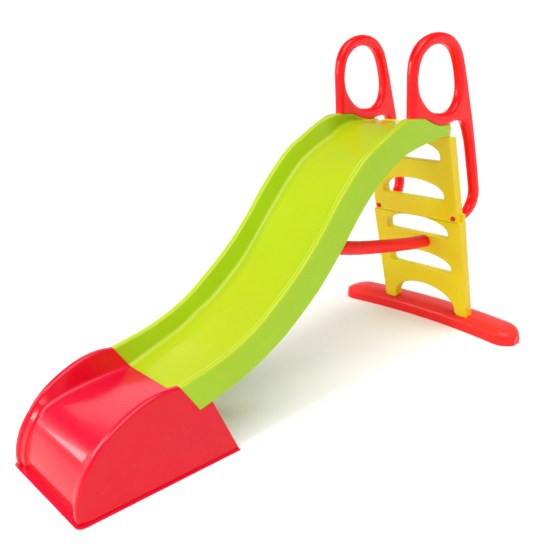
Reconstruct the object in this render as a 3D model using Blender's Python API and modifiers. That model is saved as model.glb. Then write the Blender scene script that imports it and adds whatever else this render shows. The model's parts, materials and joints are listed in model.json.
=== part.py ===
"""Children's wave slide: a moulded chute on a lap-jointed ladder, with a box-shaped run-out.

Lengths are in metres.  X runs from the run-out's front lip towards the ladder, Y across and Z up.
Every piece hangs on one empty, which moves the front lip back so that the world origin lies under
the middle of the slide.
"""
import math

import bmesh
import bpy
import numpy as np
from mathutils import Matrix, Vector

# Overall
OVERALL_LENGTH = 2.12
GAP = 0.0003             # between touching pieces
HOLE_EASE = 0.0005       # added to a fastener's radius for its hole
WELD = 0.00001           # vertices closer than this become one

# Channel section: ridge, inner wall and floor
WALL = 0.004             # chute and run-out wall
FLOOR_EDGE = 0.142       # half width of the flat floor on the slope
FLOOR_EDGE_TOP = 0.150   # the same on the platform
FILLET = 0.020           # between floor and inner wall
ROUND_SHARE = 0.45       # most of the wall's height that one rounding may take
RIDGE_OUT = 0.1900       # centre of the ridge's outer rounding
RIDGE_IN = 0.1850        # centre of its inner rounding
RIDGE_RADIUS = 0.0115
RIDGE_OUT_TOP = 0.1940   # on the platform the ridge widens into the handrail's seat
RIDGE_IN_TOP = 0.1645
RIDGE_RADIUS_TOP = 0.0075
SKIRT_HALF = 0.2045      # half width over the skirts' lower edges
STEEPEST_WALL = math.radians(70)
PLATFORM_START = 1.38
PLATFORM_FULL = 1.46

# Chute stations in side view: ridge x, z, floor x, z, skirt's lower edge x, z
CHUTE_ROWS = [
    (0.361, 0.2935, 0.407, 0.219, 0.428, 0.193),
    (0.499, 0.3220, 0.515, 0.256, 0.526, 0.217),
    (0.595, 0.3540, 0.620, 0.293, 0.637, 0.251),
    (0.676, 0.3940, 0.707, 0.340, 0.733, 0.295),
    (0.743, 0.4390, 0.783, 0.381, 0.812, 0.340),
    (0.868, 0.5360, 0.914, 0.484, 0.949, 0.442),
    (0.972, 0.6410, 1.018, 0.600, 1.064, 0.557),
    (1.065, 0.7520, 1.115, 0.707, 1.158, 0.669),
    (1.178, 0.8630, 1.218, 0.808, 1.252, 0.761),
    (1.267, 0.9170, 1.298, 0.858, 1.324, 0.810),
    (1.375, 0.9700, 1.400, 0.903, 1.420, 0.862),
    (1.445, 0.9917, 1.470, 0.933, 1.485, 0.881),
    (1.537, 0.9917, 1.537, 0.954, 1.540, 0.893),
    (1.572, 0.9827, 1.572, 0.9555, 1.575, 0.899),
    (1.615, 0.9687, 1.615, 0.9555, 1.615, 0.905),
    (1.666, 0.9612, 1.666, 0.9555, 1.666, 0.912),
    (1.7217, 0.9612, 1.7217, 0.9555, 1.7217, 0.918),
]
CHUTE_STEPS = 2
JOINT_EASE = 0.0005      # gap between the chute's first edge and the run-out
JOINT_LAP = 0.005        # how far the run-out's tongue lies under the chute's outer surface
LEDGE_DROP = 0.001       # how far its ledge lies under the chute's skirts

# Run-out stations: ridge x, z, floor x, z, and x where the side wall meets the ground lip
RUN_OUT_ROWS = [
    (0.007, 0.004, 0.023, 0.004, 0.040),
    (0.005, 0.038, 0.025, 0.040, 0.055),
    (0.012, 0.078, 0.032, 0.078, 0.080),
    (0.026, 0.117, 0.043, 0.113, 0.110),
    (0.043, 0.147, 0.057, 0.141, 0.145),
    (0.066, 0.177, 0.076, 0.163, 0.185),
    (0.095, 0.210, 0.104, 0.182, 0.225),
    (0.135, 0.241, 0.142, 0.195, 0.270),
    (0.187, 0.269, 0.195, 0.205, 0.315),
    (0.250, 0.292, 0.262, 0.212, 0.360),
    (0.310, 0.299, 0.330, 0.2165, 0.420),
    (0.361, 0.2935, 0.407, 0.219, 0.495),
]
RUN_OUT_STEPS = 2
RUN_OUT_BACK = 0.562     # x of the back edge on the ground
WALL_FOOT = 0.2055       # half width of the side wall at the ground, at the front
WALL_FLARE = 0.0165      # how much farther out it stands at the back
WALL_LEDGE = 0.2040      # and where the chute's skirt ends
LIP_HALF = 0.2135        # half width over the ground lip, at the front
LIP_CORNER = 0.022
LEDGE_PART = 0.55        # the ledge line's place between ridge and foot

# Ladder: an outline across, pushed along X by its depth and leaned by a shear
LEAN = 0.295
LEAN_Z = 0.0585
LEAN_X = 1.9625          # front face at LEAN_Z
LADDER_DEPTH = 0.050
LADDER_EDGE = 0.004
TREADS = [(0.275, 0.166), (0.451, 0.163), (0.628, 0.158), (0.801, 0.155)]   # top, half width
OPENING_HEIGHT = 0.086
OPENING_END = 0.015      # straight end of an opening
OPENING_CORNER = 0.010
OPENING_PARTS = 12       # faces along its arch
LOWER_HALF = 0.232
UPPER_HALF_LOW = 0.221
UPPER_HALF_TOP = 0.211
LEG_BOTTOM = 0.050
LEG_INNER = 0.165
LEG_CHAMFER = 0.180
LEG_CHAMFER_HEIGHT = 0.022
POCKET_INNER = 0.167
ARCH_HALF = 0.165
ARCH_SPRING = 0.085
ARCH_TOP = 0.187
ARCH_PARTS = 14
LAP_LOW = 0.535
LAP_HIGH = 0.575
LAP_REACH = 0.2          # how far the lap joint's cutters run past the ladder
LADDER_TOP = 0.908
TREAD_TOP = 0.9555       # top tread, level with the platform
TREAD_BOTTOM = 0.890
TREAD_HALF = 0.158
TREAD_REAR = 1.800
LEDGE_FRONT = 1.700
LEDGE_BACK = 1.742
LEDGE_BOTTOM = 0.900
LEDGE_HALF = 0.196

# Handrails
RAIL_FRONT = 1.458       # where the loop's front edge stands
RAIL_Y = 0.175           # half distance between the rails there
RAIL_SPLAY = 0.044       # how fast they part towards the ladder
RAIL_HALF = 0.021        # half thickness across
RAIL_EDGE = 0.0175
RAIL_STEPS = 2           # outline points to each given one
RAIL_OUTER = [
    (1.466, 1.061), (1.461, 1.115), (1.458, 1.165), (1.466, 1.214), (1.496, 1.257), (1.542, 1.285),
    (1.597, 1.300), (1.652, 1.300), (1.703, 1.288), (1.746, 1.260), (1.778, 1.220), (1.818, 1.134),
    (1.850, 1.055), (1.901, 0.930), (1.948, 0.797), (1.978, 0.705), (1.993, 0.651), (1.984, 0.600),
    (1.952, 0.562), (1.906, 0.540),
]
RAIL_INNER = [
    (1.909, 0.584), (1.934, 0.609), (1.947, 0.640), (1.941, 0.680), (1.903, 0.794), (1.876, 0.870),
    (1.844, 0.932), (1.823, 0.958), (1.795, 0.969), (1.759, 0.969), (1.725, 0.962), (1.689, 0.953),
    (1.652, 0.950), (1.606, 0.957), (1.564, 0.971), (1.532, 0.980),
]
RAIL_HOLE = [
    (1.496, 1.150), (1.510, 1.205), (1.554, 1.243), (1.606, 1.258), (1.658, 1.256), (1.705, 1.236),
    (1.738, 1.196), (1.765, 1.130), (1.772, 1.080), (1.755, 1.035), (1.717, 1.010), (1.661, 1.005),
    (1.606, 1.012), (1.560, 1.035), (1.517, 1.075), (1.500, 1.110),
]
RAIL_FOOT = [(1.476, 0.975), (1.471, 1.010)]
RAIL_END = (0.535, 0.575)    # heights between which the rail meets the ladder
SADDLE_BOTTOM = 0.80

# Foot bar
BAR_HALF = 0.477
BAR_WIDTH = 0.0855       # half its depth
BAR_HEIGHT = 0.066
BAR_SKIRT = 0.010        # height of its upright edge
BAR_FULLNESS = 0.55      # 1 is a half ellipse, less is squarer
BAR_SIDES = 10           # faces across its top
BAR_MIDDLE_X = OVERALL_LENGTH - BAR_WIDTH
BAR_BOW = 0.25           # how fast its ends sweep towards the slide
BAR_END = 0.085          # length of each rounded end
BAR_END_PARTS = (0.0, 0.06, 0.18, 0.34, 0.55, 0.8)
BAR_END_WIDTH = 0.30     # least width of an end, as a part of the full one
BAR_END_HEIGHT = 0.45    # the same for its height
BAR_SPACING = 0.1307     # between its middle stations

# Brace
BRACE_PATH = [(1.890, 0.418), (1.820, 0.420), (1.680, 0.436), (1.500, 0.461),
              (1.330, 0.490), (1.180, 0.527), (1.058, 0.573)]
BRACE_RADIUS = 0.0285
BRACE_Y = -0.0415        # it runs beside the middle plane
PIVOT = (1.075, 0.566)   # bolt between the brace and the lugs under the chute
EAR_Y = 0.0300           # inner face of each lug, from the brace's axis
EAR_THICK = 0.006
EAR_LENGTH = 0.036
EAR_BELOW = 0.016
EAR_ABOVE = 0.063
EAR_TILT = math.radians(48)

# Hose connector
OUTLET_X = 1.600
OUTLET_BORE = 0.0060
OUTLET_NECK = 0.0100     # radius of the threaded stem
OUTLET_STEM = 0.030
SEAL_THICK = 0.002
LOCK_NUT_HEIGHT = 0.007
TAIL_BORE = 0.0048
TAIL_BARB = 0.010        # pitch of the barbs
TAIL_BARBS = 3
TAIL_SLIM = 0.0065       # radius between barbs
TAIL_WIDE = 0.0082       # radius over them
TAIL_COLLAR = 0.004
TAIL_NECK = 0.001        # between the collar and the first barb
OUTLET_DOME = [(0.012, 0.006), (0.020, 0.003)]   # radius and height above the platform
OUTLET_FLANGE = 0.022
SEAL_RADIUS = 0.018
LOCK_NUT = 0.0175        # across corners, halved
OUTLET_CUT = 0.02        # how far the hole's cutter runs past the floor

# Fasteners: (head radius, head height, shank radius, length)
LADDER_BOLT = (0.0125, 0.0060, 0.0040, 0.082)
LADDER_BOLT_Y = 0.198
LADDER_BOLT_Z = 0.555
LADDER_NUT_X = 1.884
LADDER_NUT = 0.0075      # across corners, halved
PIVOT_NUT = 0.0062       # the same for the brace's cross bolt
NUT_HEIGHT = 0.005
RAIL_SCREW = (0.0060, 0.0030, 0.0025, 0.030)
RAIL_SCREW_FRONT = (1.488, 0.9874)
RAIL_SCREW_REAR = (1.650, 0.9592)
JOINT_SCREW = (0.0045, 0.0022, 0.0016, 0.0060)
JOINT_SCREW_UPPER = (0.418, 0.262, 0.1945)
JOINT_SCREW_LOWER = (0.448, 0.217, 0.1960)
END_SCREW = (0.0050, 0.0025, 0.0020, 0.024)
END_SCREW_Y = 0.2042
END_SCREW_PLACE = (1.706, 0.9330)
BRACE_BOLT = (0.0080, 0.0045, 0.0035, 0.085)
BRACE_BOLT_Z = 0.419
PIVOT_BOLT = (0.0075, 0.0045, 0.0030, 0.083)
HEAD_DOME = [(0.55, 0.9), (0.9, 0.5)]   # a head's profile, in parts of its radius and height
HEAD_ROOM = 0.010        # how far its seat's cutter runs past it
WASHER_THICK = 0.0009
WASHER_RADIUS = 0.008
FOOT_SCREW = (0.0055, 0.0030, 0.0022, 0.070)
FOOT_SCREW_INNER = 0.192
FOOT_SCREW_OUTER = 0.216
FOOT_SCREW_SEAT = 0.004
ROUND_SIDES = 12

SIDES = (("left", 1), ("right", -1))
COLLECTION = "wave_slide"
CUTTERS = "cutters"


def clear_scene():
    for item in list(bpy.data.objects):
        bpy.data.objects.remove(item, do_unlink=True)


def new_collection(name):
    collection = bpy.data.collections.new(name)
    bpy.context.scene.collection.children.link(collection)
    return collection


def principled(name, colour, roughness, metallic=0.0):
    material = bpy.data.materials.new(name)
    material.use_nodes = True
    shader = material.node_tree.nodes["Principled BSDF"]
    shader.inputs["Base Color"].default_value = (*colour, 1.0)
    shader.inputs["Roughness"].default_value = roughness
    shader.inputs["Metallic"].default_value = metallic
    return material


def make_materials():
    return {
        "chute": principled("lime plastic", (0.58, 0.72, 0.03), 0.25),
        "red": principled("red plastic", (0.85, 0.02, 0.03), 0.25),
        "yellow": principled("yellow plastic", (0.88, 0.62, 0.02), 0.35),
        "dark_red": principled("bolt cap red", (0.55, 0.01, 0.03), 0.35),
        "steel": principled("zinc-plated steel", (0.62, 0.63, 0.64), 0.35, 1.0),
        "rubber": principled("black rubber", (0.03, 0.03, 0.03), 0.8),
        "nylon": principled("grey nylon", (0.25, 0.26, 0.28), 0.5),
    }


def add_object(name, mesh, material=None):
    item = bpy.data.objects.new(name, mesh)
    bpy.data.collections[COLLECTION].objects.link(item)
    item.parent = bpy.data.objects["slide_origin"]
    if material:
        mesh.materials.append(material)
    return item


def add_cutter(name, mesh):
    item = bpy.data.objects.new(name, mesh)
    bpy.data.collections[CUTTERS].objects.link(item)
    item.parent = bpy.data.objects["slide_origin"]
    item.hide_render = True
    item.display_type = "WIRE"
    return item


def smooth_shading(item, angle=35):
    item.data.shade_smooth()
    item.data.set_sharp_from_angle(angle=math.radians(angle))


def boolean(item, tool, operation="DIFFERENCE"):
    modifier = item.modifiers.new(tool.name, "BOOLEAN")
    modifier.operation = operation
    modifier.solver = "EXACT"
    modifier.object = tool


def ladder_face(z):
    """X of the ladder's front face at height z."""
    return LEAN_X - LEAN * (z - LEAN_Z)


# ---------------------------------------------------------------- curves and lofts

def smooth_rows(rows, steps):
    """Stations on a Catmull-Rom curve through the rows, `steps` to each span."""
    rows = np.array(rows)
    padded = np.vstack([2 * rows[0] - rows[1], rows, 2 * rows[-1] - rows[-2]])
    stations = []
    for i in range(len(rows) - 1):
        a, b, c, d = padded[i:i + 4]
        for k in range(steps):
            t = k / steps
            bend = (2 * a - 5 * b + 4 * c - d) * t * t + (3 * b - a - 3 * c + d) * t ** 3
            stations.append(0.5 * (2 * b + (c - a) * t + bend))
    stations.append(rows[-1])
    return stations


def blend(low, high, part):
    return low + (high - low) * part


def half_section(station, inset):
    """Half outline of the channel at a station, from the skirt's lower edge to the middle.

    `inset` moves the outline into the material, so that one rule gives both faces of the wall.
    """
    ridge = Vector((station[0], 0, station[1]))
    floor = Vector((station[2], 0, station[3]))
    skirt = Vector((station[4], 0, station[5]))
    part = min(max((station[0] - PLATFORM_START) / (PLATFORM_FULL - PLATFORM_START), 0), 1)
    radius = blend(RIDGE_RADIUS, RIDGE_RADIUS_TOP, part)
    ridge_out = blend(RIDGE_OUT, RIDGE_OUT_TOP, part)
    ridge_in = blend(RIDGE_IN, RIDGE_IN_TOP, part)
    edge = blend(FLOOR_EDGE, FLOOR_EDGE_TOP, part)
    depth = (floor - ridge).length
    down_in = (floor - ridge) / depth
    down_out = (skirt - ridge).normalized()
    turn = min(STEEPEST_WALL, math.acos(max(1 - ROUND_SHARE * depth / radius, 0)))
    fillet = min(FILLET, ROUND_SHARE * depth / (1 - math.cos(turn)))
    small = radius - inset

    points = [skirt + Vector((0, SKIRT_HALF - inset, 0))]
    for angle in np.radians([90, 60, 30, 0]):
        side = Vector((0, ridge_out + small * math.sin(angle), 0))
        points.append(ridge + down_out * (radius - small * math.cos(angle)) + side)
    for angle in (0, turn / 2, turn):
        side = Vector((0, ridge_in - small * math.sin(angle), 0))
        points.append(ridge + down_in * (radius - small * math.cos(angle)) + side)
    for angle in (turn, turn / 2, 0):
        side = Vector((0, edge + (fillet + inset) * math.sin(angle), 0))
        drop = depth - fillet + (fillet + inset) * math.cos(angle)
        points.append(ridge + down_in * drop + side)
    points.append(floor + down_in * inset + Vector((0, edge / 2, 0)))
    points.append(floor + down_in * inset)
    return points


def shell_mesh(name, outer, inner):
    """Closed half shell between two point grids, open on the middle plane y = 0."""
    mesh = bpy.data.meshes.new(name)
    bm = bmesh.new()
    top = [[bm.verts.new(p) for p in row] for row in outer]
    under = [[bm.verts.new(p) for p in row] for row in inner]
    rows = len(top)
    columns = len(top[0])
    for i in range(rows - 1):
        for j in range(columns - 1):
            bm.faces.new((top[i][j], top[i][j + 1], top[i + 1][j + 1], top[i + 1][j]))
            bm.faces.new((under[i][j], under[i + 1][j], under[i + 1][j + 1], under[i][j + 1]))
        bm.faces.new((top[i][0], top[i + 1][0], under[i + 1][0], under[i][0]))
    for j in range(columns - 1):
        bm.faces.new((top[0][j], under[0][j], under[0][j + 1], top[0][j + 1]))
        bm.faces.new((top[-1][j], top[-1][j + 1], under[-1][j + 1], under[-1][j]))
    bmesh.ops.remove_doubles(bm, verts=bm.verts, dist=WELD)
    bm.to_mesh(mesh)
    bm.free()
    return mesh


def mirror_across(item):
    modifier = item.modifiers.new("other half", "MIRROR")
    modifier.use_axis = (False, True, False)
    modifier.merge_threshold = 0.0001


def plate(name, outlines, half_depth, edge, axes, steps=1):
    """Mesh of a flat outline with holes, given thickness and rounded edges.

    `axes` holds the three directions of the outline's x, its y and its thickness.
    """
    curve = bpy.data.curves.new(name, "CURVE")
    curve.dimensions = "2D"
    curve.fill_mode = "BOTH"
    curve.extrude = half_depth - edge
    curve.bevel_depth = edge
    curve.bevel_resolution = steps
    curve.offset = -edge
    for outline in outlines:
        spline = curve.splines.new("POLY")
        spline.points.add(len(outline) - 1)
        for point, place in zip(spline.points, outline):
            point.co = (place[0], place[1], 0, 1)
        spline.use_cyclic_u = True
    holder = bpy.data.objects.new(name, curve)
    bpy.context.scene.collection.objects.link(holder)
    evaluated = holder.evaluated_get(bpy.context.evaluated_depsgraph_get())
    mesh = bpy.data.meshes.new_from_object(evaluated)
    bpy.data.objects.remove(holder, do_unlink=True)
    mesh.transform(Matrix([Vector(axis) for axis in axes]).transposed().to_4x4())
    bm = bmesh.new()
    bm.from_mesh(mesh)
    bmesh.ops.remove_doubles(bm, verts=bm.verts, dist=WELD)
    bmesh.ops.recalc_face_normals(bm, faces=bm.faces)
    bm.to_mesh(mesh)
    bm.free()
    mesh.name = name
    return mesh


def box_mesh(name, low, high):
    mesh = bpy.data.meshes.new(name)
    bm = bmesh.new()
    bmesh.ops.create_cube(bm, size=1.0)
    size = Vector(abs(b - a) for a, b in zip(low, high))
    middle = (Vector(high) + Vector(low)) / 2
    bmesh.ops.scale(bm, vec=size, verts=bm.verts)
    bmesh.ops.translate(bm, vec=middle, verts=bm.verts)
    bm.to_mesh(mesh)
    bm.free()
    return mesh


def bevelled(mesh, width, segments=2):
    bm = bmesh.new()
    bm.from_mesh(mesh)
    bmesh.ops.bevel(bm, geom=bm.edges, offset=width, segments=segments, affect="EDGES", profile=0.5)
    bm.to_mesh(mesh)
    bm.free()
    return mesh


def join_meshes(name, meshes):
    """One mesh of several separate bodies."""
    joined = bpy.data.meshes.new(name)
    bm = bmesh.new()
    for mesh in meshes:
        bm.from_mesh(mesh)
    bm.to_mesh(joined)
    bm.free()
    return joined


def turned_mesh(name, profile, sides=ROUND_SIDES, closed=False):
    """Solid of revolution about +Z from (radius, z) pairs, down its outer side.

    An open profile starts and ends on the axis; a closed one makes a ring.
    """
    mesh = bpy.data.meshes.new(name + "_profile")
    verts = [(radius, 0, z) for radius, z in profile]
    edges = [(i, i + 1) for i in range(len(verts) - 1)]
    if closed:
        edges.append((len(verts) - 1, 0))
    mesh.from_pydata(verts, edges, [])
    holder = bpy.data.objects.new(name + "_profile", mesh)
    bpy.context.scene.collection.objects.link(holder)
    screw = holder.modifiers.new("turn", "SCREW")
    screw.steps = sides
    screw.render_steps = sides
    screw.use_merge_vertices = True
    screw.merge_threshold = WELD
    evaluated = holder.evaluated_get(bpy.context.evaluated_depsgraph_get())
    solid = bpy.data.meshes.new_from_object(evaluated)
    bpy.data.objects.remove(holder, do_unlink=True)
    bm = bmesh.new()
    bm.from_mesh(solid)
    bmesh.ops.remove_doubles(bm, verts=bm.verts, dist=WELD / 10)
    bmesh.ops.recalc_face_normals(bm, faces=bm.faces)
    bm.to_mesh(solid)
    bm.free()
    solid.name = name
    return solid


def aimed(mesh, place, direction):
    """Copy of a mesh with its +Z axis along `direction` and its origin at `place`."""
    copy = mesh.copy()
    turn = Vector((0, 0, 1)).rotation_difference(Vector(direction))
    copy.transform(Matrix.Translation(place) @ turn.to_matrix().to_4x4())
    return copy


def bolt_mesh(name, size):
    """Domed bolt whose head sits above z = 0 and whose shank runs down from it."""
    head, height, shank, length = size
    dome = [(across * head, up * height) for across, up in HEAD_DOME]
    profile = [(0, height)] + dome + [(head, 0), (shank, 0), (shank, shank - length), (0, -length)]
    return turned_mesh(name, profile)


def clearance_mesh(name, size):
    """Cutter for a bolt: a hole past its tip and a seat for its head."""
    head, height, shank, length = size
    hole = shank + HOLE_EASE
    seat = head + HOLE_EASE
    profile = [(0, height + HEAD_ROOM), (seat, height + HEAD_ROOM), (seat, -GAP), (hole, -GAP),
               (hole, -length - HOLE_EASE), (0, -length - HOLE_EASE)]
    return turned_mesh(name, profile)


def hex_nut_mesh(name, across_corners, bore, height):
    mesh = bpy.data.meshes.new(name)
    bm = bmesh.new()
    rings = []
    for radius in (across_corners, bore):
        for z in (0, height):
            ring = []
            for k in range(ROUND_SIDES):
                angle = 2 * math.pi * k / ROUND_SIDES
                flat = math.cos(math.pi / 6) / math.cos((angle % (math.pi / 3)) - math.pi / 6)
                reach = radius * flat if radius == across_corners else radius
                ring.append(bm.verts.new((reach * math.cos(angle), reach * math.sin(angle), z)))
            rings.append(ring)
    for a, b in ((0, 1), (3, 2), (2, 0), (1, 3)):
        for k in range(ROUND_SIDES):
            n = (k + 1) % ROUND_SIDES
            bm.faces.new((rings[a][k], rings[a][n], rings[b][n], rings[b][k]))
    bmesh.ops.recalc_face_normals(bm, faces=bm.faces)
    bm.to_mesh(mesh)
    bm.free()
    return mesh


# ---------------------------------------------------------------- chute and run-out

def make_chute(material):
    stations = smooth_rows(CHUTE_ROWS, CHUTE_STEPS)
    first = stations[0].copy()
    first[0::2] += JOINT_EASE
    stations[0] = first
    outer = [half_section(station, 0) for station in stations]
    inner = [half_section(station, WALL) for station in stations]
    chute = add_object("chute", shell_mesh("chute", outer, inner), material)
    mirror_across(chute)
    ears = []
    for side in (1, -1):
        ear = box_mesh("ear", (-EAR_LENGTH / 2, side * EAR_Y, -EAR_BELOW),
                       (EAR_LENGTH / 2, side * (EAR_Y + EAR_THICK), EAR_ABOVE))
        turn = Matrix.Rotation(-EAR_TILT, 4, "Y")
        ear.transform(Matrix.Translation((PIVOT[0], BRACE_Y, PIVOT[1])) @ turn)
        ears.append(ear)
    boolean(chute, add_cutter("brace_lugs", join_meshes("brace_lugs", ears)), "UNION")
    return chute


def lip_point(point, z):
    """Where the ground lip's edge lies outside a point of the front row."""
    centre = Vector((LIP_CORNER, LIP_HALF - LIP_CORNER, 0))
    flat = Vector((point.x, point.y, 0))
    if flat.y <= centre.y:
        return Vector((0, flat.y, z))
    if flat.x >= centre.x:
        return Vector((flat.x, LIP_HALF + flare(flat.x), z))
    edge = centre + (flat - centre).normalized() * LIP_CORNER
    return Vector((edge.x, edge.y, z))


def flare(x):
    """How far the run-out's foot stands out at x, beyond its place at the front."""
    return WALL_FLARE * x / RUN_OUT_BACK


def run_out_half(station, inset, lap, shift, ledge_drop):
    """Half section of the run-out, from the ground lip to the middle."""
    ridge_x, ridge_z, floor_x, floor_z, ledge_x, ledge_z, foot_x = station
    section = [ridge_x + shift, ridge_z, floor_x + shift, floor_z, ledge_x + shift, ledge_z - ledge_drop]
    points = half_section(section, inset + lap)
    ground = 0.0 if inset else WALL
    foot = Vector((foot_x, WALL_FOOT + flare(foot_x) - inset, ground))
    ledge = Vector((ledge_x + shift, WALL_LEDGE - inset, ledge_z - ledge_drop))
    lip = Vector((foot_x, LIP_HALF + flare(foot_x), ground))
    if lap == 0:
        points[0] = ledge.copy()
    return [lip, foot, ledge] + points


def make_run_out(material):
    rows = []
    for ridge_x, ridge_z, floor_x, floor_z, foot_x in RUN_OUT_ROWS[:-1]:
        ledge_x = blend(ridge_x, foot_x, LEDGE_PART)
        ledge_z = blend(ridge_z, WALL, LEDGE_PART)
        rows.append((ridge_x, ridge_z, floor_x, floor_z, ledge_x, ledge_z, foot_x))
    joint = CHUTE_ROWS[0]
    rows.append(joint + (RUN_OUT_ROWS[-1][4],))
    stations = [list(station) for station in smooth_rows(rows, RUN_OUT_STEPS)]
    under_chute = smooth_rows(CHUTE_ROWS, CHUTE_STEPS)
    tongue = [list(rows[-1]), list(under_chute[1]) + [RUN_OUT_BACK]]
    outer = [run_out_half(station, 0, 0, 0, 0) for station in stations]
    outer += [run_out_half(station, 0, JOINT_LAP, 0, LEDGE_DROP) for station in tongue]
    inner = [run_out_half(station, WALL, 0, 0, 0) for station in stations[:-1]]
    inner.append(run_out_half(stations[-1], WALL, 0, -WALL, 0))
    inner.append(run_out_half(tongue[0], WALL, JOINT_LAP, -WALL, LEDGE_DROP + WALL))
    inner.append(run_out_half(tongue[1], WALL, JOINT_LAP, 0, LEDGE_DROP + WALL))
    for point in inner[0]:
        point.z = 0.0
    outer.insert(0, [lip_point(point, WALL) for point in outer[0]])
    inner.insert(0, [Vector((point.x, point.y, 0)) for point in outer[0]])
    run_out = add_object("run_out", shell_mesh("run_out", outer, inner), material)
    mirror_across(run_out)
    return run_out


# ---------------------------------------------------------------- ladder

def arch_points(half, spring, top, count):
    """Half-ellipse from the right end to the left end."""
    points = []
    for k in range(count + 1):
        angle = math.pi * k / count
        points.append((half * math.cos(angle), spring + (top - spring) * math.sin(angle)))
    return points


def tread_opening(z, half):
    """D-shaped opening that stands on a tread's top edge."""
    points = arch_points(half, z + OPENING_END + OPENING_CORNER, z + OPENING_HEIGHT,
                         OPENING_PARTS)
    for side, start in ((-1, math.pi), (1, 1.5 * math.pi)):
        for k in range(3):
            angle = start + math.pi / 4 * k
            points.append((side * (half - OPENING_CORNER) + OPENING_CORNER * math.cos(angle),
                           z + OPENING_CORNER + OPENING_CORNER * math.sin(angle)))
    return points


def leaned(mesh):
    """Shear a plate that stands on the plane x = 0 into the ladder's place."""
    for vertex in mesh.vertices:
        vertex.co.x += ladder_face(vertex.co.z) + LADDER_DEPTH / 2
    return mesh


def leaned_box(name, front, back, low_y, high_y, low_z, high_z):
    """Box that leans with the ladder, measured in X from the ladder's front face."""
    mesh = box_mesh(name, (front, low_y, low_z), (back, high_y, high_z))
    for vertex in mesh.vertices:
        vertex.co.x += ladder_face(vertex.co.z)
    return mesh


ACROSS = ((0, 1, 0), (0, 0, 1), (1, 0, 0))


def make_ladder(material):
    chamfer_top = LEG_BOTTOM + LEG_CHAMFER_HEIGHT
    legs = [(LOWER_HALF, LEG_BOTTOM), (LOWER_HALF, LAP_HIGH), (-LOWER_HALF, LAP_HIGH),
            (-LOWER_HALF, LEG_BOTTOM), (-LEG_CHAMFER, LEG_BOTTOM), (-LEG_INNER, chamfer_top)]
    legs += list(reversed(arch_points(ARCH_HALF, ARCH_SPRING, ARCH_TOP, ARCH_PARTS)))
    legs += [(LEG_INNER, chamfer_top), (LEG_CHAMFER, LEG_BOTTOM)]
    openings = [tread_opening(z, half) for z, half in TREADS]
    half_depth = LADDER_DEPTH / 2
    lower_mesh = leaned(plate("ladder_lower", [legs] + openings[:2], half_depth, LADDER_EDGE, ACROSS))
    lower = add_object("ladder_lower", lower_mesh, material)

    top = [(UPPER_HALF_LOW, LAP_LOW), (UPPER_HALF_TOP, LADDER_TOP), (-UPPER_HALF_TOP, LADDER_TOP),
           (-UPPER_HALF_LOW, LAP_LOW)]
    upper_mesh = leaned(plate("ladder_upper", [top] + openings[2:], half_depth, LADDER_EDGE, ACROSS))
    upper = add_object("ladder_upper", upper_mesh, material)

    # Lap joint: the upper half keeps the front, the lower half keeps the back
    split = ladder_face(LADDER_BOLT_Z) + half_depth
    side = LOWER_HALF + LAP_REACH
    front = box_mesh("lap_front", (split - LAP_REACH, -side, LAP_LOW - GAP),
                     (split + GAP / 2, side, LAP_LOW + LAP_REACH))
    back = box_mesh("lap_back", (split - GAP / 2, -side, LAP_HIGH - LAP_REACH),
                    (split + LAP_REACH, side, LAP_HIGH + GAP))
    boolean(lower, add_cutter("lap_front", front))
    boolean(upper, add_cutter("lap_back", back))

    # Top tread behind the chute, and the ledge that carries the chute's end
    tread_front = CHUTE_ROWS[-1][0] + GAP
    tread = box_mesh("top_tread", (tread_front, -TREAD_HALF, TREAD_BOTTOM),
                     (TREAD_REAR, TREAD_HALF, TREAD_TOP))
    ledge = box_mesh("ledge", (LEDGE_FRONT, -LEDGE_HALF, LEDGE_BOTTOM),
                     (LEDGE_BACK, LEDGE_HALF, TREAD_TOP - WALL - GAP))
    boolean(upper, add_cutter("top_tread", bevelled(tread, LADDER_EDGE)), "UNION")
    boolean(upper, add_cutter("ledge", ledge), "UNION")
    return lower, upper


# ---------------------------------------------------------------- handrails

def closed_smooth(points, steps):
    """Points on a closed Catmull-Rom curve."""
    count = len(points)
    places = np.array(points)
    result = []
    for i in range(count):
        a, b, c, d = (places[(i + k) % count] for k in (-1, 0, 1, 2))
        for k in range(steps):
            t = k / steps
            bend = (2 * a - 5 * b + 4 * c - d) * t * t + (3 * b - a - 3 * c + d) * t ** 3
            result.append(tuple(0.5 * (2 * b + (c - a) * t + bend)))
    return result


ALONG = ((1, 0, 0), (0, 0, 1), (0, -1, 0))


def rail_y(x):
    """Distance of a handrail's middle plane from the slide's."""
    return RAIL_Y + RAIL_SPLAY * (x - RAIL_FRONT)


def make_handrail(name, side, material):
    end_x = ladder_face(LADDER_BOLT_Z) + LADDER_DEPTH / 2
    end = [(end_x, z) for z in RAIL_END]
    outline = closed_smooth(RAIL_FOOT + RAIL_OUTER + end + RAIL_INNER, RAIL_STEPS)
    hole = closed_smooth(RAIL_HOLE, RAIL_STEPS)
    mesh = plate(name, [outline, hole], RAIL_HALF, RAIL_EDGE, ALONG, steps=2)
    for vertex in mesh.vertices:
        vertex.co.y += side * rail_y(vertex.co.x)
    rail = add_object(name, mesh, material)
    ridge = [(station[0], station[1] + GAP) for station in smooth_rows(CHUTE_ROWS, CHUTE_STEPS)
             if station[0] > PLATFORM_START]
    floor_line = [(ridge[-1][0], SADDLE_BOTTOM), (ridge[0][0], SADDLE_BOTTOM)]
    saddle = plate("saddle", [ridge + floor_line], SKIRT_HALF + RAIL_HALF, 0.0, ALONG)
    boolean(rail, add_cutter("saddle_" + name, saddle))
    ladder = leaned_box("end_trim", -LADDER_DEPTH, LADDER_DEPTH + GAP, -LOWER_HALF, LOWER_HALF,
                        LAP_LOW - LADDER_DEPTH, LAP_HIGH + LADDER_DEPTH)
    boolean(rail, add_cutter("end_trim_" + name, ladder))
    return rail


# ---------------------------------------------------------------- foot bar and brace

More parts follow.
